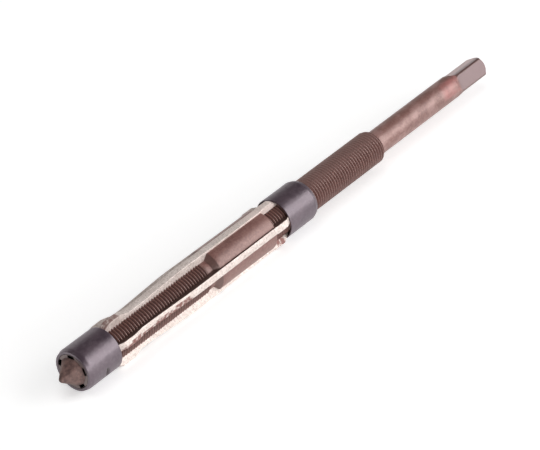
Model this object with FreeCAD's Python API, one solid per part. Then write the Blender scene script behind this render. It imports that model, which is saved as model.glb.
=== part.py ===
import FreeCAD, Part
import math
import os

# Adjustable hand reamer, 6.6 to 7.1 mm.  Five loose blades sit in slots whose
# bottoms rise towards the shank.  Two round nuts hold the blades end to end:
# moving them towards the shank pushes the blades up the slots, so the reamer
# grows.  The model stands at its smallest size, with the blades fully forward.
#
# Frame: X is the tool axis, from the square drive end (X = 0) to the pilot
# point.  The reamer lies on its two nuts, with blade_1 straight up (+Z).
# All sizes are in millimetres.

# --- lengths along the axis -------------------------------------------------
shank_length = 26.5          # drive end to the rear thread
rear_thread_end = 52.1       # rear thread meets the plain band
band_end = 63.8              # front edge of the band
shoulder_length = 0.65       # bevel from the band down to the neck
front_thread_start = 65.7
body_front = 90.5            # plane of the pilot point's base
nut_length = 6.1
rear_nut_rim = 49.05         # edge of the rear nut's recess, nearest the blades

# --- diameters and radii ----------------------------------------------------
shank_diameter = 3.7
thread_diameter = 5.0        # M5 x 0.5, left as a plain cylinder
neck_diameter = 4.6
band_diameter = 6.1
nut_diameter = 6.15
pilot_base_radius = 2.05
pilot_tip_radius = 0.26      # the point is blunt
pilot_angle = 73.0           # included angle of the pilot point, degrees

# --- drive square -----------------------------------------------------------
across_flats = 2.8
flat_length = 5.8
flat_cutter_radius = 3.0     # the cutter's run-out at the shank end of a flat
square_turn = 24.5           # turn of the square about the axis, degrees
drive_end_chamfer = 0.5

# --- slots and blades -------------------------------------------------------
blade_count = 5
blade_thickness = 1.0
side_gap = 0.05              # blade to slot wall, each side
bottom_gap = 0.02            # blade to slot bottom
slot_slope = 1.0 / 50.0      # rise of the slot bottom towards the shank
slot_bottom_at_front = 1.57  # from the axis, at the pilot point's base
slot_margin = 4.0            # length by which a slot's cutter overruns the body

cutting_radius_front = 3.43  # highest point of the ground edge
cutting_radius_rear = 3.33   # back taper ends here
rough_end_radius = 3.40      # unground ends of a blade
lead_foot_radius = 3.02      # foot of the ground lead
rough_rear_front = 52.0      # front limit of the unground rear end
grind_step = 0.3
lead_start = 69.5            # the ground edge falls away from here
lead_foot = 77.7
lead_foot_end = 79.9
rough_front_start = 81.4
blade_front = 85.4           # flat nose inside the front nut
blade_rear = 48.45           # flat tail inside the rear nut
relief_shift = 0.40          # offset of the relief's centre from the tool axis
relief_drop = 0.006          # leaves a narrow round margin behind the edge

# --- nuts -------------------------------------------------------------------
bore_gap = 0.03              # nut bore to thread
recess_mouth_radius = 2.93
recess_half_angle = 30.0     # from the axis, degrees
recess_gap = 0.02            # blade bevel to recess, along the radius
outer_chamfer = 0.18          # along the radius
outer_chamfer_length = 0.6
rim_chamfer = 0.05
thread_chamfer = 0.35        # start of the rear thread
neck_chamfer = 0.175         # start of the front thread, at the neck
front_chamfer = 0.05         # the front thread runs out flush with the nut's face
band_chamfer = 0.12

axis_direction = FreeCAD.Vector(1, 0, 0)
origin = FreeCAD.Vector(0, 0, 0)


def slant(start, end):
    """Straight edge held as a spline, so that flats and slots cut its cone cleanly."""
    line = Part.BSplineCurve()
    line.buildFromPolesMultsKnots([start, end], [2, 2], [0, 1], False, 1)
    return line.toShape()


def revolved(profile, centre_y=0.0):
    """Solid of revolution about the line y = centre_y, from (x, radius) points."""
    outline = [(profile[0][0], 0.0)] + list(profile) + [(profile[-1][0], 0.0)]
    points = [FreeCAD.Vector(x, centre_y, radius) for x, radius in outline]
    edges = []
    for start, end in zip(points, points[1:] + points[:1]):
        level = start.x == end.x or start.z == end.z
        edges.append(Part.makeLine(start, end) if level else slant(start, end))
    face = Part.Face(Part.Wire(edges))
    return face.revolve(FreeCAD.Vector(0, centre_y, 0), axis_direction, 360)


def turned(shape, degrees):
    """Copy of the shape, turned about the tool axis."""
    copy = shape.copy()
    copy.rotate(origin, axis_direction, degrees)
    return copy


def prism(outline, width):
    """Solid from an (x, z) outline, centred on the XZ plane."""
    points = [FreeCAD.Vector(x, -width / 2, z) for x, z in outline]
    face = Part.Face(Part.makePolygon(points + [points[0]]))
    return face.extrude(FreeCAD.Vector(0, width, 0))


def slot_bottom(x):
    """Height of a slot's bottom above the axis."""
    return slot_bottom_at_front + (body_front - x) * slot_slope


def blade_angle(index):
    """Turn of a blade from straight up, against the cutting direction."""
    return -index * 360.0 / blade_count


# --- body -------------------------------------------------------------------
def turned_blank():
    """The body as it leaves the lathe, before its slots and flats."""
    shank = shank_diameter / 2
    thread = thread_diameter / 2
    neck = neck_diameter / 2
    band = band_diameter / 2
    pilot_length = (pilot_base_radius - pilot_tip_radius) / math.tan(
        math.radians(pilot_angle / 2))
    return revolved([
        (0.0, shank - drive_end_chamfer),
        (drive_end_chamfer, shank),
        (shank_length, shank),
        (shank_length, thread - thread_chamfer),
        (shank_length + thread_chamfer, thread),
        (rear_thread_end, thread),
        (rear_thread_end, band - band_chamfer),
        (rear_thread_end + band_chamfer, band),
        (band_end, band),
        (band_end + shoulder_length, neck),
        (front_thread_start - neck_chamfer, neck),
        (front_thread_start, thread),
        (body_front - front_chamfer, thread),
        (body_front, thread - front_chamfer),
        (body_front, pilot_base_radius),
        (body_front + pilot_length, pilot_tip_radius),
    ])


def slot_cutter():
    """Everything that one slot removes, at the top of the body."""
    rear = body_front - (thread_diameter / 2 - slot_bottom_at_front) / slot_slope
    rear -= slot_margin
    front = body_front + slot_margin
    top = nut_diameter
    outline = [(rear, slot_bottom(rear)), (front, slot_bottom(front)),
               (front, top), (rear, top)]
    return prism(outline, blade_thickness + 2 * side_gap)


def flat_cutter():
    """Everything that one flat of the square removes, with its run-out."""
    half = across_flats / 2
    depth = shank_diameter
    block = Part.makeBox(flat_length + slot_margin, 2 * depth, depth,
                         FreeCAD.Vector(-slot_margin, -depth, half))
    wheel = Part.makeCylinder(
        flat_cutter_radius, 2 * depth,
        FreeCAD.Vector(flat_length, -depth, half + flat_cutter_radius),
        FreeCAD.Vector(0, 1, 0))
    return block.fuse(wheel)


def make_body():
    body = turned_blank()
    for index in range(blade_count):
        body = body.cut(turned(slot_cutter(), blade_angle(index)))
    for side in range(4):
        body = body.cut(turned(flat_cutter(), square_turn - 90 + 90 * side))
    return body


# --- blades -----------------------------------------------------------------
def bevel_radius(depth):
    """Radius of a blade's end bevel at a depth inside a nut's recess."""
    slope = math.tan(math.radians(recess_half_angle))
    return recess_mouth_radius - recess_gap - depth * slope


def blade_profile(rough_radius):
    """Outer edge of a blade from tail to nose, as (x, radius) points."""
    slope = math.tan(math.radians(recess_half_angle))
    front_rim = body_front - nut_length
    rise = (rough_radius - bevel_radius(0)) / slope
    return [
        (blade_rear, bevel_radius(rear_nut_rim - blade_rear)),
        (rear_nut_rim + rise, rough_radius),
        (rough_rear_front, rough_radius),
        (rough_rear_front + grind_step, cutting_radius_rear),
        (lead_start, cutting_radius_front),
        (lead_foot, lead_foot_radius),
        (lead_foot_end, lead_foot_radius),
        (rough_front_start, rough_radius),
        (front_rim - rise, rough_radius),
        (blade_front, bevel_radius(blade_front - front_rim)),
    ]


def make_blade():
    """One blade, standing straight up on its slot's bottom."""
    top = nut_diameter
    sides = prism([
        (blade_rear, slot_bottom(blade_rear) + bottom_gap),
        (blade_front, slot_bottom(blade_front) + bottom_gap),
        (blade_front, top),
        (blade_rear, top),
    ], blade_thickness)
    round_edge = revolved(blade_profile(rough_end_radius))
    relief = [(x, radius - relief_drop)
              for x, radius in blade_profile(rough_end_radius + relief_shift)]
    return sides.common(round_edge).common(revolved(relief, -relief_shift))


# --- nuts -------------------------------------------------------------------
def make_nut(outer_face, direction):
    """Round nut, from its outer face towards the recess that holds the blades."""
    outside = nut_diameter / 2
    bore = thread_diameter / 2 + bore_gap
    recess_depth = (recess_mouth_radius - bore) / math.tan(
        math.radians(recess_half_angle))
    outline = [
        (0.0, bore + rim_chamfer),
        (0.0, outside - outer_chamfer),
        (outer_chamfer_length, outside),
        (nut_length - rim_chamfer, outside),
        (nut_length, outside - rim_chamfer),
        (nut_length, recess_mouth_radius),
        (nut_length - recess_depth, bore),
        (rim_chamfer, bore),
    ]
    points = [FreeCAD.Vector(outer_face + direction * x, 0, radius)
              for x, radius in outline]
    face = Part.Face(Part.makePolygon(points + [points[0]]))
    return face.revolve(origin, axis_direction, 360)


# --- the set ----------------------------------------------------------------
parts = {
    "body": make_body(),
    "front_nut": make_nut(body_front, -1),
    "rear_nut": make_nut(rear_nut_rim - nut_length, 1),
}
upright_blade = make_blade()
for index in range(blade_count):
    parts[f"blade_{index + 1}"] = turned(upright_blade, blade_angle(index))

os.makedirs("parts", exist_ok=True)
for name, shape in parts.items():
    shape = shape.Solids[0]
    shape.exportStep(f"parts/{name}.step")
    box = shape.BoundBox
    print(f"{name:10s} solids {len(shape.Solids)} valid {shape.isValid()} "
          f"volume {shape.Volume:8.2f} mm3  X {box.XMin:.2f}..{box.XMax:.2f}")
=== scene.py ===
import math

import bmesh
import bpy
import numpy as np
from mathutils import Matrix, Vector, noise


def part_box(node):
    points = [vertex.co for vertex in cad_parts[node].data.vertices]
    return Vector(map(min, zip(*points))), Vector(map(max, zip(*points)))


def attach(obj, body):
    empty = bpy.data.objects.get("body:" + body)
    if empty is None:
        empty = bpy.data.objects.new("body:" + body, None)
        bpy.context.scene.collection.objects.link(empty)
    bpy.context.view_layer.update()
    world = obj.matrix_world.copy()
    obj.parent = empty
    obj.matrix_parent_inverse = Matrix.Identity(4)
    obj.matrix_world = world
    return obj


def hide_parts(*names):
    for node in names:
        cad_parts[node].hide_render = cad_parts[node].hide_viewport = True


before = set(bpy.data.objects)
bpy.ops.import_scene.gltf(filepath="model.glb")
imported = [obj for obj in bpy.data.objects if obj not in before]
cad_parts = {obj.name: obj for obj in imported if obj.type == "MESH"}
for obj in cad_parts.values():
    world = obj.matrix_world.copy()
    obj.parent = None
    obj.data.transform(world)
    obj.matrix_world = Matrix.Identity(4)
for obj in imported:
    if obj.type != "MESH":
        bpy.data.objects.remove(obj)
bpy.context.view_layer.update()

# Adjustable hand reamer.  X is the tool axis, from the square drive end (X = 0)
# to the pilot point; the reamer lies on its two nuts with blade_1 straight up.
# Lengths are written in millimetres and turned into metres where a mesh is made.
MM = 0.001

body_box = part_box("body")
front_nut_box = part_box("front_nut")
rear_nut_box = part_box("rear_nut")
blade_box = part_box("blade_1")

# --- body -------------------------------------------------------------------
SHANK_RADIUS = 1.85
SHANK_END = 26.5
THREAD_RADIUS = 2.5
THREAD_PITCH = 0.5
THREAD_DEPTH = 0.307
THREAD_CREST = 1 / 8         # flat of a crest, as a share of the pitch
THREAD_ROOT = 1 / 4
THREAD_FLANK = (1 - THREAD_CREST - THREAD_ROOT) / 2
REAR_THREAD_END = 52.1
BAND_RADIUS = 3.05
BAND_END = 63.8
SHOULDER_END = 64.45
NECK_RADIUS = 2.3
FRONT_THREAD_START = 65.7
BODY_FRONT = front_nut_box[1].x / MM
PILOT_TIP = body_box[1].x / MM
PILOT_BASE_RADIUS = 2.05
PILOT_TIP_RADIUS = 0.26
THREAD_CHAMFER = 0.35
NECK_CHAMFER = 0.175
PLAIN_RING = 0.12

# --- drive square -----------------------------------------------------------
HALF_FLATS = 1.4
FLAT_LENGTH = 5.8
FLAT_CUTTER_RADIUS = 3.0
SQUARE_TURN = 24.5
DRIVE_CHAMFER = 0.5

# --- slots and blades -------------------------------------------------------
BLADES = 5
HALF_SLOT = 0.55
HALF_BLADE = 0.5
SLOT_SLOPE = 1 / 50
SLOT_BOTTOM_AT_FRONT = 1.57
BOTTOM_GAP = 0.02
BLADE_REAR = blade_box[0].x / MM
BLADE_FRONT = blade_box[1].x / MM
RELIEF_SHIFT = 0.40
RELIEF_DROP = 0.006
ROUGH_RADIUS = 3.40          # unground ends of a blade
CUTTING_RADIUS_FRONT = 3.43
CUTTING_RADIUS_REAR = 3.33
LEAD_FOOT_RADIUS = 3.02
ROUGH_REAR_FRONT = 52.0
GROUND_REAR = 52.3
LEAD_START = 69.5
LEAD_FOOT = 77.7
LEAD_FOOT_END = 79.9
ROUGH_FRONT_START = 81.4
BLADE_BEVEL = 0.03           # softened edges
RECESS_GAP = 0.02            # blade bevel to nut recess

# --- nuts -------------------------------------------------------------------
NUT_RADIUS = front_nut_box[1].z / MM
NUT_LENGTH = (front_nut_box[1].x - front_nut_box[0].x) / MM
NUT_BORE = 2.53
RECESS_MOUTH = 2.93
RECESS_SLOPE = math.tan(math.radians(30))
NUT_CHAMFER = 0.18
NUT_CHAMFER_LENGTH = 0.6
RIM_CHAMFER = 0.05
BORE_EDGE = 0.012


def blade_turn(index):
    """Angle of a blade from straight up, about +X, in radians."""
    return -2 * math.pi * index / BLADES


def slot_bottom(x):
    return SLOT_BOTTOM_AT_FRONT + (BODY_FRONT - x) * SLOT_SLOPE


# --- meshes -----------------------------------------------------------------
def make_object(name, points, faces, sharp_angle=28.0, **fields):
    """Mesh object from points in millimetres, with coinciding points merged.

    Each field is one number a point, kept as an attribute for the material.
    """
    mesh = bpy.data.meshes.new(name)
    mesh.from_pydata([tuple(p * MM) for p in points], [], faces)
    for key, values in fields.items():
        field = mesh.attributes.new(key, "FLOAT", "POINT")
        field.data.foreach_set("value", np.asarray(values, np.float32).ravel())
    work = bmesh.new()
    work.from_mesh(mesh)
    bmesh.ops.remove_doubles(work, verts=work.verts, dist=2e-7)
    bmesh.ops.dissolve_degenerate(work, dist=1e-7, edges=work.edges)
    bmesh.ops.recalc_face_normals(work, faces=work.faces)
    work.to_mesh(mesh)
    work.free()
    mesh.shade_smooth()
    mesh.set_sharp_from_angle(angle=math.radians(sharp_angle))
    made = bpy.data.objects.new(name, mesh)
    bpy.context.scene.collection.objects.link(made)
    return made


def grid_faces(rows, columns, offset=0):
    """Quads of a grid whose points are listed row by row."""
    return [(offset + r * columns + c, offset + r * columns + c + 1,
             offset + (r + 1) * columns + c + 1, offset + (r + 1) * columns + c)
            for r in range(rows - 1) for c in range(columns - 1)]


# --- body: lathe profile, threads and slots ---------------------------------
def thread_radius(x, turn, start, end, start_chamfer, end_chamfer):
    """Radius of a right-hand thread at a place along and round the axis."""
    phase = np.mod(x / THREAD_PITCH - turn / (2 * math.pi), 1.0)
    down = np.clip((phase - THREAD_CREST) / THREAD_FLANK, 0, 1)
    up = np.clip((phase - 1 + THREAD_FLANK) / THREAD_FLANK, 0, 1)
    radius = THREAD_RADIUS - THREAD_DEPTH * (down - up)
    radius = np.minimum(radius, THREAD_RADIUS - start_chamfer + (x - start))
    return np.minimum(radius, THREAD_RADIUS - end_chamfer + (end - x))


def thread_rows(start, end):
    """Base places of the rows that follow a thread's crests, flanks and roots."""
    steps = np.array([0, THREAD_CREST, THREAD_CREST + THREAD_FLANK / 2,
                      THREAD_CREST + THREAD_FLANK, 1 - THREAD_FLANK,
                      1 - THREAD_FLANK / 2])
    first = math.floor(start / THREAD_PITCH) - 2
    last = math.ceil(end / THREAD_PITCH) + 2
    turns = np.arange(first, last)
    return ((turns[:, None] + steps[None, :]) * THREAD_PITCH).ravel()


def section_columns(radius_at, base_x, helical, start, end, land_steps=20):
    """Points of rows round the body, dipping into the five slots on the way."""
    slot_steps = [(1, True), (1, False), (0.5, False), (0, False),
                  (-0.5, False), (-1, False), (-1, True)]
    columns = []
    for index in range(BLADES + 1):
        centre = math.pi / 2 - 2 * math.pi * index / BLADES
        steps = slot_steps
        if index == 0:
            steps = slot_steps[3:]
        elif index == BLADES:
            steps = slot_steps[:4]
        before = [("land", centre, k / land_steps) for k in range(1, land_steps)]
        if index:
            columns += before
        columns += [("slot", centre, step) for step in steps]
    x = np.repeat(base_x[:, None], len(columns), 1).astype(float)
    points = np.zeros(x.shape + (3,))
    sector = 2 * math.pi / BLADES
    for c, (kind, centre, step) in enumerate(columns):
        base = base_x.astype(float)
        turn = np.full(base.shape, centre)
        radius = np.full(base.shape, THREAD_RADIUS)
        for _ in range(4):
            here = base + (THREAD_PITCH * turn / (2 * math.pi) if helical else 0)
            here = np.clip(here, start, end)
            radius = radius_at(here, turn)
            half = np.minimum(HALF_SLOT, 0.352 * radius)
            edge = np.arcsin(half / radius)
            if kind == "land":
                turn = centre + sector - edge - step * (sector - 2 * edge)
            else:
                across = -half * step[0]
                height = np.sqrt(radius ** 2 - across ** 2)
                if not step[1]:
                    height = np.minimum(height, slot_bottom(here))
                turn = centre + np.arctan2(across, height)
        if kind == "land":
            y, z = radius * np.cos(turn), radius * np.sin(turn)
        else:
            reach = np.hypot(across, height)
            y, z = reach * np.cos(turn), reach * np.sin(turn)
        points[:, c] = np.stack([here, y, z], 1)
    return points


def plain_section(profile):
    """Rows of a section of revolution, from (x, radius) pairs."""
    xs = np.array([x for x, radius in profile])
    radii = np.array([radius for x, radius in profile])
    rows = [section_columns(lambda here, turn, r=r: np.full(here.shape, r),
                            np.array([x]), False, x, x)
            for x, r in zip(xs, radii)]
    return np.concatenate(rows)


def finely(profile, step):
    """The same (x, radius) line with more points along its long runs."""
    line = [profile[0]]
    for (x0, r0), (x1, r1) in zip(profile, profile[1:]):
        count = max(1, int(math.ceil(abs(x1 - x0) / step)))
        line += [(x0 + (x1 - x0) * k / count, r0 + (r1 - r0) * k / count)
                 for k in range(1, count + 1)]
    return line


def shank_points():
    """Round shank with the four flats of the drive square and their run-outs."""
    rows = []
    chamfer = [(DRIVE_CHAMFER * k / 10,
                SHANK_RADIUS - DRIVE_CHAMFER * (1 - k / 10)) for k in range(11)]
    run_out = math.sqrt(FLAT_CUTTER_RADIUS ** 2
                        - (FLAT_CUTTER_RADIUS - SHANK_RADIUS + HALF_FLATS) ** 2)
    stations = [(0.0, 0.0), (0.0, SHANK_RADIUS - DRIVE_CHAMFER - 0.15)] + chamfer
    stations += [(x, SHANK_RADIUS) for x in np.linspace(1.0, FLAT_LENGTH, 8)]
    stations += [(FLAT_LENGTH + run_out * k / 14, SHANK_RADIUS)
                 for k in range(1, 15)]
    stations += [(x, SHANK_RADIUS)
                 for x in np.linspace(FLAT_LENGTH + run_out + 0.4, SHANK_END, 30)]
    across, corner = 14, 8
    nominal = math.acos(HALF_FLATS / SHANK_RADIUS)
    for x, radius in stations:
        past = min(max(x - FLAT_LENGTH, 0), run_out)
        flat = HALF_FLATS + FLAT_CUTTER_RADIUS - math.sqrt(
            FLAT_CUTTER_RADIUS ** 2 - past ** 2)
        cut = flat < radius - 1e-6
        half = math.acos(flat / radius) if cut else nominal
        row = []
        for side in range(4):
            middle = math.radians(SQUARE_TURN) + side * math.pi / 2
            for k in range(across):
                turn = -half + 2 * half * k / across
                reach = flat / math.cos(turn) if cut else radius
                row.append((middle + turn, min(reach, radius)))
            for k in range(corner):
                gap = math.pi / 2 - 2 * half
                row.append((middle + half + gap * k / corner, radius))
        row.append((row[0][0] + 2 * math.pi, row[0][1]))
        rows.append([(x, reach * math.cos(turn), reach * math.sin(turn))
                     for turn, reach in row])
    return np.array(rows)


def slot_depth(rows, nominal):
    """Depth of each point of a section below its outside, in millimetres."""
    reach = np.hypot(rows[..., 1], rows[..., 2])
    return np.clip(np.reshape(nominal, (-1, 1)) - reach, 0, 1)


def make_body():
    sections = []

    def plain(profile):
        nominal = [radius for x, radius in profile]
        sections.append((plain_section(profile), nominal))

    def threaded(start, end, start_chamfer, end_chamfer):
        def radius_at(x, turn):
            return thread_radius(x, turn, start, end, start_chamfer, end_chamfer)

        rows = section_columns(radius_at, thread_rows(start, end), True, start, end)
        sections.append((rows, THREAD_RADIUS))

    plain([(SHANK_END, SHANK_RADIUS - 0.02)])
    threaded(SHANK_END, REAR_THREAD_END, THREAD_CHAMFER, 0.0)
    plain(finely([
        (REAR_THREAD_END, BAND_RADIUS - 0.12), (REAR_THREAD_END + 0.04, BAND_RADIUS - 0.05),
        (REAR_THREAD_END + 0.12, BAND_RADIUS), (BAND_END - 0.03, BAND_RADIUS),
        (BAND_END + 0.02, BAND_RADIUS - 0.02),
        (SHOULDER_END, NECK_RADIUS + 0.02), (SHOULDER_END + 0.04, NECK_RADIUS),
        (FRONT_THREAD_START - NECK_CHAMFER, NECK_RADIUS)], 1.0))
    threaded(FRONT_THREAD_START - NECK_CHAMFER, BODY_FRONT - PLAIN_RING, 0.2, 0.0)
    plain([(BODY_FRONT - PLAIN_RING, THREAD_RADIUS - 0.01),
           (BODY_FRONT - 0.03, THREAD_RADIUS - 0.01), (BODY_FRONT, THREAD_RADIUS - 0.04),
           (BODY_FRONT, PILOT_BASE_RADIUS + 0.02)])
    slope = (PILOT_BASE_RADIUS - PILOT_TIP_RADIUS) / (PILOT_TIP - BODY_FRONT)
    cone = [(BODY_FRONT, PILOT_BASE_RADIUS),
            (PILOT_TIP - 0.10, PILOT_TIP_RADIUS + 0.10 * slope)]
    tip = [(PILOT_TIP - 0.04, PILOT_TIP_RADIUS - 0.01),
           (PILOT_TIP - 0.01, PILOT_TIP_RADIUS - 0.06),
           (PILOT_TIP, PILOT_TIP_RADIUS - 0.13), (PILOT_TIP, 0.001)]
    plain(finely(cone, 0.12) + tip)

    rows = np.concatenate([rows for rows, nominal in sections])
    depths = [slot_depth(rows, nominal) for rows, nominal in sections]
    points = rows.reshape(-1, 3)
    faces = grid_faces(rows.shape[0], rows.shape[1])
    shank = shank_points()
    faces += grid_faces(shank.shape[0], shank.shape[1], len(points))
    points = np.concatenate([points, shank.reshape(-1, 3)])
    sunk = np.concatenate([np.concatenate(depths).ravel(), np.zeros(shank[..., 0].size)])
    return make_object("body_steel", points, faces, sunk=sunk)


# --- blades -----------------------------------------------------------------
def blade_line(rough):
    """Outer edge of a blade from tail to nose, as (x, radius) pairs."""
    rear_rim = rear_nut_box[1].x / MM
    front_rim = front_nut_box[0].x / MM
    mouth = RECESS_MOUTH - RECESS_GAP
    rise = (rough - mouth) / RECESS_SLOPE
    return [
        (BLADE_REAR, mouth - (rear_rim - BLADE_REAR) * RECESS_SLOPE),
        (rear_rim + rise, rough), (ROUGH_REAR_FRONT, rough),
        (GROUND_REAR, CUTTING_RADIUS_REAR), (LEAD_START, CUTTING_RADIUS_FRONT),
        (LEAD_FOOT, LEAD_FOOT_RADIUS), (LEAD_FOOT_END, LEAD_FOOT_RADIUS),
        (ROUGH_FRONT_START, rough), (front_rim - rise, rough),
        (BLADE_FRONT, mouth - (BLADE_FRONT - front_rim) * RECESS_SLOPE)]


def soft_line(xs, line, width):
    """A broken line read at xs, with its corners rounded over a width."""
    known_x, known_r = zip(*line)
    reach = np.linspace(-1, 1, 9)
    weight = 1 - np.abs(reach) * 0.9
    total = sum(w * np.interp(xs + width * k, known_x, known_r)
                for k, w in zip(reach, weight))
    return total / weight.sum()


def make_blade(index):
    """One blade in its own frame: X along it, Z outwards, Y across."""
    xs = np.concatenate([
        np.linspace(BLADE_REAR, 52.9, 44), np.linspace(53.1, 77.5, 84),
        np.linspace(77.7, BLADE_FRONT, 60)])
    width = np.where(xs < 53.5, 0.14, np.where(xs < 76.5, 1.2, 0.28))
    width = np.minimum(width, np.minimum(xs - BLADE_REAR, BLADE_FRONT - xs) * 0.9)
    outer = soft_line(xs, blade_line(ROUGH_RADIUS), width)
    relief = soft_line(xs, blade_line(ROUGH_RADIUS + RELIEF_SHIFT), width) - RELIEF_DROP
    floor = slot_bottom(xs) + BOTTOM_GAP
    bevel = BLADE_BEVEL
    across = np.concatenate([[-HALF_BLADE],
                             np.linspace(-HALF_BLADE + bevel, HALF_BLADE - bevel, 13),
                             [HALF_BLADE]])
    rows = []
    for x, round_r, relief_r, base in zip(xs, outer, relief, floor):
        rough = max(0.0, 1 - abs(x - 50.5) / 1.6) + max(0.0, 1 - abs(x - 83.1) / 2.2)
        row = [(x, 0.0, base), (x, -HALF_BLADE + bevel, base),
               (x, -HALF_BLADE, base + bevel)]
        for y in across:
            top = min(math.sqrt(round_r ** 2 - y * y),
                      math.sqrt(relief_r ** 2 - (y + RELIEF_SHIFT) ** 2))
            at = Vector((x * 1.7, y * 2.2, index * 7.3))
            top -= 0.03 * min(rough, 1.0) * (0.5 + noise.noise(at))
            if abs(y) == HALF_BLADE:
                row.append((x, y, top - bevel - 0.35 * max(top - bevel - base, 0)))
                row.append((x, y, top - bevel))
                if y > 0:
                    row[-1], row[-2] = row[-2], row[-1]
            else:
                row.append((x, y, top))
        row += [(x, HALF_BLADE, base + bevel), (x, HALF_BLADE - bevel, base),
                (x, 0.0, base)]
        rows.append(row)
    rows = np.array(rows)
    middle = rows[:, :, 2].mean(1)
    tail = np.stack([rows[0, :, 0], rows[0, :, 1] * 0,
                     rows[0, :, 2] * 0 + middle[0]], 1)
    nose = np.stack([rows[-1, :, 0], rows[-1, :, 1] * 0,
                     rows[-1, :, 2] * 0 + middle[-1]], 1)
    rows = np.concatenate([tail[None], rows, nose[None]])
    faces = grid_faces(rows.shape[0], rows.shape[1])
    turn = np.array(Matrix.Rotation(blade_turn(index), 3, "X"))
    return make_object(f"blade_steel_{index + 1}", rows.reshape(-1, 3) @ turn.T,
                       faces, 24.0)


# --- nuts -------------------------------------------------------------------
def nut_line():
    """Nut's section from the outer face's bore to the recess and back."""
    depth = (RECESS_MOUTH - NUT_BORE) / RECESS_SLOPE
    face_edge = NUT_RADIUS - NUT_CHAMFER
    line = [(BORE_EDGE, NUT_BORE), (0.0, NUT_BORE + BORE_EDGE)]
    line += [(0.0, NUT_BORE + (face_edge - 0.02 - NUT_BORE) * k / 4) for k in range(1, 5)]
    line += [(0.02 + (NUT_CHAMFER_LENGTH - 0.02) * k / 6, face_edge + NUT_CHAMFER * k / 6)
             for k in range(7)]
    rim = NUT_LENGTH - RIM_CHAMFER
    line += [(NUT_CHAMFER_LENGTH + (rim - NUT_CHAMFER_LENGTH) * k / 40, NUT_RADIUS)
             for k in range(1, 41)]
    line += [(NUT_LENGTH - 0.015, NUT_RADIUS - 0.015), (NUT_LENGTH, NUT_RADIUS - RIM_CHAMFER),
             (NUT_LENGTH, RECESS_MOUTH + 0.02), (NUT_LENGTH - 0.02, RECESS_MOUTH)]
    line += [(NUT_LENGTH - depth * k / 6, RECESS_MOUTH - (RECESS_MOUTH - NUT_BORE) * k / 6)
             for k in range(1, 7)]
    line += [(NUT_LENGTH - depth - (NUT_LENGTH - depth - BORE_EDGE) * k / 8, NUT_BORE)
             for k in range(1, 9)]
    return line


def make_nut(name, outer_face, direction, nicks, steps=192):
    """Round nut, with its dents and the fields that its material reads."""
    rows, hollow, worn = [], [], []
    line = nut_line()
    rim = max(k for k, (x, radius) in enumerate(line) if radius > RECESS_MOUTH)
    for level, (x, radius) in enumerate(line):
        row = []
        for k in range(steps + 1):
            turn = 2 * math.pi * (k % steps) / steps
            reach, dent = radius, 0.0
            if radius > RECESS_MOUTH:
                at = Vector((x, math.cos(turn) * 3, math.sin(turn) * 3))
                reach -= 0.006 * (0.5 + noise.noise(at * 2.3))
                lean = math.radians(12)
                for along, place, length, breadth, deep in nicks:
                    away = math.atan2(math.sin(turn - place), math.cos(turn - place))
                    p, q = (x - along), away * NUT_RADIUS
                    u = (q * math.cos(lean) - p * math.sin(lean)) / length
                    v = (p * math.cos(lean) + q * math.sin(lean)) / breadth
                    dent = max(dent, math.exp(-(u * u + v * v) ** 2))
                    reach -= deep * dent
            row.append((outer_face + direction * x,
                        reach * math.cos(turn), reach * math.sin(turn)))
            hollow.append(1.0 if level > rim else 0.0)
            worn.append(dent)
        rows.append(row)
    rows = np.array(rows)
    return make_object(name, rows.reshape(-1, 3), grid_faces(*rows.shape[:2]), 30.0,
                       hollow=hollow, worn=worn)


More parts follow.
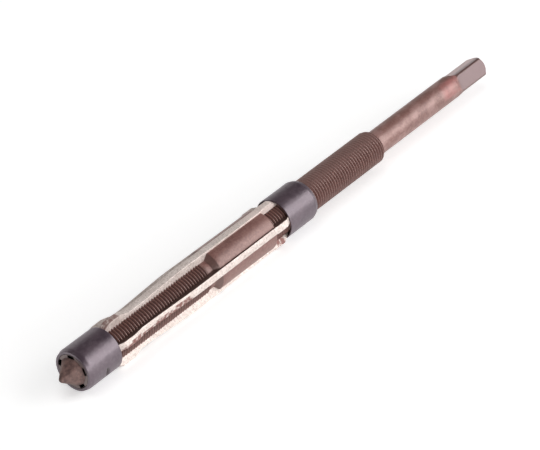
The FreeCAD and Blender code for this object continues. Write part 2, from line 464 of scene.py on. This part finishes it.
# --- materials --------------------------------------------------------------
class Steel:
    """A Principled material and the small node chains that feed it."""

    def __init__(self, name, metallic, roughness, turn=0.0):
        self.material = bpy.data.materials.new(name)
        self.material.use_nodes = True
        self.tree = self.material.node_tree
        self.shader = self.tree.nodes["Principled BSDF"]
        self.shader.inputs["Metallic"].default_value = metallic
        self.shader.inputs["Roughness"].default_value = roughness
        place = self.add("ShaderNodeTexCoord").outputs["Object"]
        upright = self.add("ShaderNodeMapping", Vector=place)
        upright.inputs["Rotation"].default_value = (-turn, 0, 0)
        self.place = upright.outputs[0]
        split = self.add("ShaderNodeSeparateXYZ", Vector=self.place)
        self.x, self.y, self.z = split.outputs

    def add(self, kind, _settings=None, **inputs):
        node = self.tree.nodes.new(kind)
        for key, value in (_settings or {}).items():
            setattr(node, key, value)
        for key, value in inputs.items():
            socket = node.inputs[key.replace("_", " ")]
            if isinstance(value, bpy.types.NodeSocket):
                self.tree.links.new(value, socket)
            else:
                socket.default_value = value
        return node

    def link(self, value, name):
        self.tree.links.new(value, self.shader.inputs[name])

    def math(self, operation, a, b=0.0):
        node = self.tree.nodes.new("ShaderNodeMath")
        node.operation = operation
        for socket, value in zip(node.inputs, (a, b)):
            if isinstance(value, bpy.types.NodeSocket):
                self.tree.links.new(value, socket)
            else:
                socket.default_value = value
        return node.outputs[0]

    def noise(self, size, stretch=(1, 1, 1), detail=3.0, rough=0.55, shift=(0, 0, 0)):
        """Noise whose features are about a size in millimetres, drawn out by a stretch."""
        moved = self.add("ShaderNodeMapping", Vector=self.place)
        moved.inputs["Scale"].default_value = [1 / (size * MM * s) for s in stretch]
        moved.inputs["Location"].default_value = shift
        made = self.add("ShaderNodeTexNoise", Vector=moved.outputs[0], Scale=1.0,
                        Detail=detail, Roughness=rough)
        return made.outputs["Fac"]

    def ramp(self, value, low, high, start=0.0, end=1.0):
        """Value from low..high mapped to start..end, clamped."""
        made = self.add("ShaderNodeMapRange", Value=value)
        for key, number in zip(("From Min", "From Max", "To Min", "To Max"),
                               (low, high, start, end)):
            made.inputs[key].default_value = number
        return made.outputs[0]

    def window(self, value, low, high, fade):
        """1 between low and high millimetres, fading to 0 outside."""
        rise = self.ramp(value, (low - fade) * MM, low * MM)
        fall = self.ramp(value, high * MM, (high + fade) * MM, 1.0, 0.0)
        return self.math("MULTIPLY", rise, fall)

    def blend(self, amount, a, b):
        """Colour between a and b."""
        made = self.add("ShaderNodeMix", {"data_type": "RGBA"})
        self.tree.links.new(amount, made.inputs[0])
        for socket, value in ((made.inputs[6], a), (made.inputs[7], b)):
            if isinstance(value, bpy.types.NodeSocket):
                self.tree.links.new(value, socket)
            else:
                socket.default_value = (*value, 1.0)
        return made.outputs[2]

    def bump(self, height, distance, strength=1.0, after=None):
        made = self.add("ShaderNodeBump", Height=height, Strength=strength,
                        Distance=distance * MM)
        if after is not None:
            self.tree.links.new(after, made.inputs["Normal"])
        return made.outputs[0]


def body_material():
    """Brown oxide over turned steel; thread roots and slots darkened by grime and painted shade,
    with painted shade on the front shoulder and the drive flats painted lighter on one side and
    darker on the other.
    """
    steel = Steel("oxidised_steel", 0.1, 0.36)
    steel.shader.inputs["IOR"].default_value = 2.0
    steel.shader.inputs["Specular Tint"].default_value = (1.0, 0.86, 0.82, 1)
    patch = steel.noise(6.0, (2.5, 1, 1), 4.0)
    colour = steel.blend(steel.ramp(patch, 0.35, 0.65),
                         (0.155, 0.064, 0.054), (0.215, 0.096, 0.081))
    fine = steel.noise(0.35, detail=4.0)
    colour = steel.blend(steel.ramp(fine, 0.40, 0.75, 0.0, 0.55), colour, (0.36, 0.195, 0.17))
    bloom = steel.noise(1.3, (1.6, 1, 1), 3.0, shift=(8, 2, 4))
    smooth = steel.window(steel.x, 4.0, SHANK_END - 0.2, 0.5)
    bloom = steel.math("MULTIPLY", steel.ramp(bloom, 0.45, 0.62, 0.0, 0.6), smooth)
    colour = steel.blend(bloom, colour, (0.40, 0.235, 0.215))
    pits = steel.noise(0.22, detail=3.0, rough=0.6, shift=(5, 2, 1))
    colour = steel.blend(steel.ramp(pits, 0.60, 0.70, 0.0, 0.55), colour, (0.11, 0.055, 0.045))
    rust = steel.math("MULTIPLY", steel.window(steel.x, 7.2, 10.2, 1.2),
                      steel.ramp(steel.noise(2.2, shift=(3, 1, 7)), 0.32, 0.58, 0.2, 0.9))
    outward = steel.math("ADD", steel.math("MULTIPLY", steel.y, 0.77),
                         steel.math("MULTIPLY", steel.z, 0.64))
    rust = steel.math("MULTIPLY", rust, steel.ramp(outward, 1.25 * MM, 1.65 * MM))
    colour = steel.blend(rust, colour, (0.43, 0.155, 0.145))
    # Thread roots and slots darkened with depth: partly grime in the hollows, partly painted
    # shade.
    sunk = steel.add("ShaderNodeAttribute", {"attribute_name": "sunk"}).outputs["Fac"]
    grime_and_shade = steel.ramp(sunk, 0.03, 0.30)
    clean = steel.window(steel.x, SHANK_END, 42.0, 2.0)
    grime_and_shade_colour = steel.blend(clean, (0.066, 0.028, 0.022), (0.155, 0.070, 0.060))
    colour = steel.blend(grime_and_shade, colour, grime_and_shade_colour)
    # Lighter towards the top of the rear thread.
    top_lightening = steel.math("MULTIPLY", steel.window(steel.x, SHANK_END + 0.3, 42.5, 0.3),
                      steel.ramp(steel.z, 1.3 * MM, 2.2 * MM, 0.0, 0.7))
    colour = steel.blend(top_lightening, colour, (0.36, 0.225, 0.205))
    # Painted shade on the front-facing shoulder between band and neck.
    shoulder = steel.window(steel.x, BAND_END - 0.02, SHOULDER_END, 0.08)
    colour = steel.blend(steel.math("MULTIPLY", shoulder, 0.6), colour, (0.075, 0.038, 0.032))
    # Painted shade over dirt, near black, deep in the slots.
    deep = steel.ramp(sunk, 0.32, 0.5)
    colour = steel.blend(deep, colour, (0.045, 0.026, 0.021))
    front = steel.window(steel.x, BODY_FRONT - 0.06, BODY_FRONT + 0.004, 0.004)
    colour = steel.blend(front, colour, (0.14, 0.10, 0.098))
    cone = steel.window(steel.x, BODY_FRONT + 0.01, PILOT_TIP + 1.0, 0.01)
    crust = steel.noise(0.75, detail=4.0, rough=0.55, shift=(1, 4, 2))
    scale = steel.blend(steel.ramp(crust, 0.38, 0.62),
                        (0.085, 0.040, 0.036), (0.215, 0.120, 0.104))
    colour = steel.blend(cone, colour, scale)
    square = steel.window(steel.x, 0.0, FLAT_LENGTH + 0.5, 0.6)
    inner = steel.ramp(steel.math("SQRT", steel.math(
        "ADD", steel.math("POWER", steel.y, 2.0), steel.math("POWER", steel.z, 2.0))),
        (SHANK_RADIUS - 0.07) * MM, (SHANK_RADIUS - 0.02) * MM, 1.0, 0.0)
    filed = steel.math("MULTIPLY", square, inner)
    # Filed flats, painted lighter on the flats towards -Y and darker on those towards +Y:
    # painted light and shade.
    flats = steel.blend(steel.ramp(steel.y, -0.5 * MM, 0.3 * MM),
                        (0.62, 0.47, 0.47), (0.20, 0.130, 0.138))
    colour = steel.blend(filed, colour, flats)
    corner = steel.math("MULTIPLY", steel.window(steel.x, 0.3, FLAT_LENGTH + 0.6, 0.3),
                        steel.math("SUBTRACT", 1.0, inner))
    colour = steel.blend(steel.math("MULTIPLY", corner, 0.85), colour, (0.085, 0.040, 0.038))
    steel.link(colour, "Base Color")
    gloss = steel.ramp(steel.noise(0.6, (0.4, 1, 1)), 0.3, 0.7, 0.32, 0.46)
    gloss = steel.math("ADD", gloss, steel.math("MULTIPLY", grime_and_shade, 0.35))
    steel.link(steel.math("ADD", gloss, steel.math("MULTIPLY", cone, 0.25)), "Roughness")
    rings = steel.noise(0.12, (0.5, 8, 8), 2.0)
    normal = steel.bump(rings, 0.01, 0.5)
    normal = steel.bump(fine, 0.02, 0.5, normal)
    normal = steel.bump(steel.math("MULTIPLY", crust, cone), 0.12, 0.7, normal)
    steel.link(normal, "Normal")
    return steel.material


def nut_material():
    """Blued steel with fine scratches, painted shade inside the recess, and rust with painted
    shade in the nick.
    """
    steel = Steel("blued_steel", 0.1, 0.34)
    steel.shader.inputs["IOR"].default_value = 2.25
    steel.shader.inputs["Specular Tint"].default_value = (1.0, 0.88, 0.95, 1)
    patch = steel.noise(2.0, detail=4.0)
    colour = steel.blend(steel.ramp(patch, 0.35, 0.65),
                         (0.026, 0.011, 0.022), (0.060, 0.036, 0.050))
    mottle = steel.noise(0.45, detail=4.0, shift=(2, 3, 5))
    colour = steel.blend(steel.ramp(mottle, 0.45, 0.70, 0.0, 0.6), colour, (0.105, 0.080, 0.093))
    hollow = steel.add("ShaderNodeAttribute", {"attribute_name": "hollow"}).outputs["Fac"]
    # Painted shade inside the recess and bore.
    colour = steel.blend(hollow, colour, (0.016, 0.011, 0.007))
    worn = steel.add("ShaderNodeAttribute", {"attribute_name": "worn"}).outputs["Fac"]
    # Rust and painted shade darken the nick.
    colour = steel.blend(steel.ramp(worn, 0.08, 0.35), colour, (0.020, 0.012, 0.010))
    steel.link(colour, "Base Color")
    scratch = steel.noise(0.15, (12, 0.6, 0.6), 3.0)
    rough = steel.ramp(scratch, 0.3, 0.7, 0.24, 0.36)
    rough = steel.math("ADD", rough, steel.ramp(patch, 0.3, 0.7, 0.0, 0.10))
    dull = steel.math("MULTIPLY", steel.math("MAXIMUM", hollow, worn), 0.4)
    steel.link(steel.math("ADD", rough, dull), "Roughness")
    normal = steel.bump(scratch, 0.006, 0.5)
    steel.link(steel.bump(mottle, 0.03, 0.5, normal), "Normal")
    return steel.material


# Stained stretches of each blade: lengthwise from and to, crosswise from and to,
# in millimetres, and strength.
STAINS = {
    0: [(81.6, 84.4, -0.6, 0.42, 0.8)],
    1: [(80.4, 82.2, 0.0, 0.6, 1.0), (74.3, 77.0, 0.05, 0.6, 1.0),
        (70.9, 73.3, -0.1, 0.6, 1.0), (70.5, 84.4, 0.3, 0.6, 1.0)],
    2: [(49.9, 51.1, -0.6, 0.6, 1.4), (62.6, 63.6, 0.0, 0.6, 0.9)],
    3: [(58.0, 61.0, -0.6, 0.0, 0.8)],
    4: [(55.0, 58.0, -0.6, 0.0, 0.8)],
}


def blade_material(index):
    """Ground steel, mottled and cross-scratched, with rust stains; blade 2 has painted shade on
    one side face.
    """
    steel = Steel(f"ground_steel_{index + 1}", 0.30, 0.45, blade_turn(index))
    patch = steel.noise(1.0, (2.0, 1, 1), 4.0, shift=(index, 0, 0))
    colour = steel.blend(steel.ramp(patch, 0.35, 0.68), (0.93, 0.82, 0.77), (0.76, 0.65, 0.60))
    mottle = steel.noise(0.30, detail=4.0, rough=0.65, shift=(0, index, 3))
    colour = steel.blend(steel.ramp(mottle, 0.46, 0.66, 0.0, 0.65), colour, (0.48, 0.39, 0.35))
    grind = steel.noise(0.11, (0.6, 7, 7), 3.0)
    colour = steel.blend(steel.ramp(grind, 0.52, 0.70, 0.0, 0.45), colour, (0.56, 0.47, 0.43))
    speck = steel.noise(0.22, detail=3.0, rough=0.7, shift=(7, 1, index))
    colour = steel.blend(steel.ramp(speck, 0.62, 0.70, 0.0, 0.9), colour, (0.22, 0.15, 0.13))
    blot = steel.noise(0.6, (1, 0.8, 1), 5.0, 0.6, (index * 3, 5, 1))
    for low, high, left, right, strength in STAINS[index]:
        place = steel.math("MULTIPLY", steel.window(steel.x, low, high, 0.35),
                           steel.window(steel.y, left, right, 0.12))
        stain = steel.math("MULTIPLY", place, steel.ramp(blot, 0.36, 0.52, 0.0, strength))
        colour = steel.blend(stain, colour, (0.26, 0.12, 0.105))
    # Painted shade on the -Y side face of blade 2.
    if index == 1:
        back = steel.ramp(steel.y, -(HALF_BLADE - 0.004) * MM,
                          -(HALF_BLADE - BLADE_BEVEL) * MM, 1.0, 0.0)
        colour = steel.blend(back, colour, (0.085, 0.046, 0.038))
    if index == 0:
        tail = steel.window(steel.x, BLADE_REAR, 54.0, 3.0)
        colour = steel.blend(steel.math("MULTIPLY", tail, 0.5), colour, (0.97, 0.80, 0.74))
    steel.link(colour, "Base Color")
    steel.link(steel.ramp(grind, 0.3, 0.7, 0.38, 0.58), "Roughness")
    normal = steel.bump(grind, 0.012, 0.8)
    steel.link(steel.bump(mottle, 0.03, 0.6, normal), "Normal")
    return steel.material


# --- the set ----------------------------------------------------------------
def dress(made, body, node, material):
    made.data.materials.clear()
    made.data.materials.append(material)
    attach(made, body)
    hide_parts(node)


dress(make_body(), "body", "body", body_material())
blued = nut_material()
front_face = front_nut_box[1].x / MM
rear_face = rear_nut_box[0].x / MM
# Depth along the nut, turn, half length, half width and depth of the dent.
nick = (3.45, math.radians(-24), 0.95, 0.27, 0.30)
dress(make_nut("nut_front", front_face, -1, [nick]), "front_nut", "front_nut",
      blued)
dress(make_nut("nut_rear", rear_face, 1, []), "rear_nut", "rear_nut",
      blued)
for number in range(BLADES):
    dress(make_blade(number), f"blade_{number + 1}", f"blade_{number + 1}",
          blade_material(number))


# --- floor, light and camera ------------------------------------------------
def make_floor():
    reach = 3.0
    level = front_nut_box[0].z - 0.00001
    corners = [(-reach, -reach), (reach, -reach), (reach, reach), (-reach, reach)]
    mesh = bpy.data.meshes.new("floor")
    mesh.from_pydata([(x, y, level) for x, y in corners], [], [(0, 1, 2, 3)])
    floor = bpy.data.objects.new("floor", mesh)
    bpy.context.scene.collection.objects.link(floor)
    paper = bpy.data.materials.new("paper")
    paper.use_nodes = True
    tree = paper.node_tree
    shader = tree.nodes["Principled BSDF"]
    shader.inputs["Base Color"].default_value = (0.85, 0.85, 0.85, 1)
    shader.inputs["Roughness"].default_value = 0.9
    shader.inputs["Specular IOR Level"].default_value = 0.1
    shader.inputs["Emission Color"].default_value = (1, 1, 1, 1)
    rays = tree.nodes.new("ShaderNodeLightPath")
    seen = tree.nodes.new("ShaderNodeMath")
    seen.operation = "MAXIMUM"
    glow = tree.nodes.new("ShaderNodeMath")
    glow.operation = "MULTIPLY"
    glow.inputs[1].default_value = 0.49
    tree.links.new(rays.outputs["Is Camera Ray"], seen.inputs[0])
    tree.links.new(rays.outputs["Is Glossy Ray"], seen.inputs[1])
    tree.links.new(seen.outputs[0], glow.inputs[0])
    tree.links.new(glow.outputs[0], shader.inputs["Emission Strength"])
    floor.data.materials.append(paper)


def make_world():
    world = bpy.data.worlds.new("studio")
    world.use_nodes = True
    tree = world.node_tree
    background = tree.nodes["Background"]
    place = tree.nodes.new("ShaderNodeTexCoord")
    split = tree.nodes.new("ShaderNodeSeparateXYZ")
    fade = tree.nodes.new("ShaderNodeMapRange")
    tree.links.new(place.outputs["Generated"], split.inputs[0])
    tree.links.new(split.outputs["Z"], fade.inputs["Value"])
    for key, number in (("From Min", 0.0), ("From Max", 0.75),
                        ("To Min", 0.5), ("To Max", 0.12)):
        fade.inputs[key].default_value = number
    tree.links.new(fade.outputs[0], background.inputs["Strength"])
    background.inputs["Color"].default_value = (1.0, 0.99, 0.98, 1)
    bpy.context.scene.world = world


def make_softbox(name, direction, distance, size, radiance, shines=True):
    """Rectangular soft lamp that faces the middle of the reamer.

    One that does not shine lights the surfaces but leaves no reflection on them.
    """
    aim = Vector((0.05, 0, 0))
    lamp = bpy.data.lights.new(name, "AREA")
    lamp.shape = "RECTANGLE"
    lamp.size, lamp.size_y = size
    lamp.energy = radiance * math.pi * size[0] * size[1]
    holder = bpy.data.objects.new(name, lamp)
    bpy.context.scene.collection.objects.link(holder)
    toward = Vector(direction).normalized()
    holder.location = aim + toward * distance
    holder.rotation_euler = toward.to_track_quat("Z", "Y").to_euler()
    holder.visible_glossy = shines


def make_camera():
    right = Vector((-0.6173, 0.7816, -0.0901))
    up = Vector((-0.4676, -0.2724, 0.8409))
    roll = 0.0016
    right, up = right + roll * up, up - roll * right
    right.normalize()
    up.normalize()
    back = right.cross(up)
    lens = bpy.data.cameras.new("camera")
    lens.sensor_width = 36.0
    lens.lens = 180.1
    lens.clip_start, lens.clip_end = 0.01, 10
    camera = bpy.data.objects.new("camera", lens)
    bpy.context.scene.collection.objects.link(camera)
    pose = Matrix((right, up, back)).transposed().to_4x4()
    place = Vector((0.28368, 0.20734, 0.19676))
    pose.translation = place - 0.000029 * right + 0.00004 * up
    camera.matrix_world = pose
    bpy.context.scene.camera = camera


make_floor()
make_world()
make_softbox("key", (-0.63, 0.70, 0.42), 0.6, (0.6, 0.45), 2.6)
make_softbox("side", (-0.3, -0.85, 0.35), 0.7, (0.5, 0.35), 0.5)
make_softbox("top", (0.15, -0.05, 1.0), 0.6, (0.5, 0.5), 1.3, shines=False)
make_softbox("fill", (0.1, 1.0, 0.12), 0.6, (0.6, 0.4), 2.4)
make_camera()
bpy.context.scene.view_settings.view_transform = "Standard"
